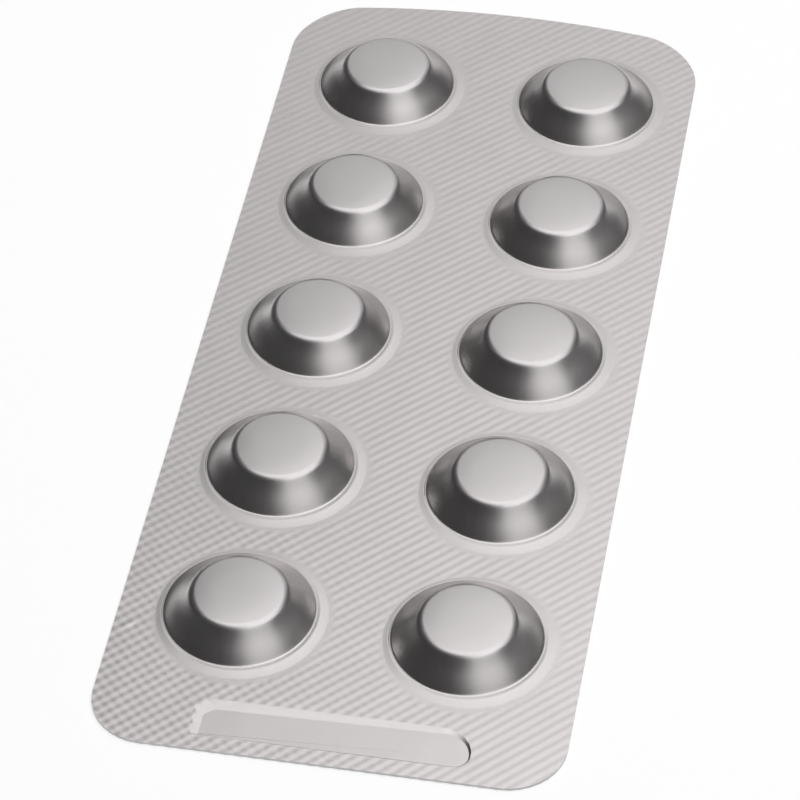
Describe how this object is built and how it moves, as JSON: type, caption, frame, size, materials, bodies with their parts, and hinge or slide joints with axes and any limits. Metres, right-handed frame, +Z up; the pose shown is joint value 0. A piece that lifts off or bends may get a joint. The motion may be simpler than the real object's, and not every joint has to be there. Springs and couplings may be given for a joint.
{
  "type": "pill blister pack",
  "caption": "Sealed foil blister card lying flat, with rows of blunt cone pockets, fine diagonal knurling and a smooth panel at one end.",
  "frame": {"origin": "middle of the flat underside", "axes": "+Z up out of the pockets; +Y along the length, away from the smooth panel; +X across the width"},
  "size_m": [0.0478, 0.1172, 0.0033],
  "materials": {
    "foil": "satin, knurled on the sealed area"
  },
  "bodies": {
    "root": {"blister_pack": "foil"}
  },
  "joints": []
}
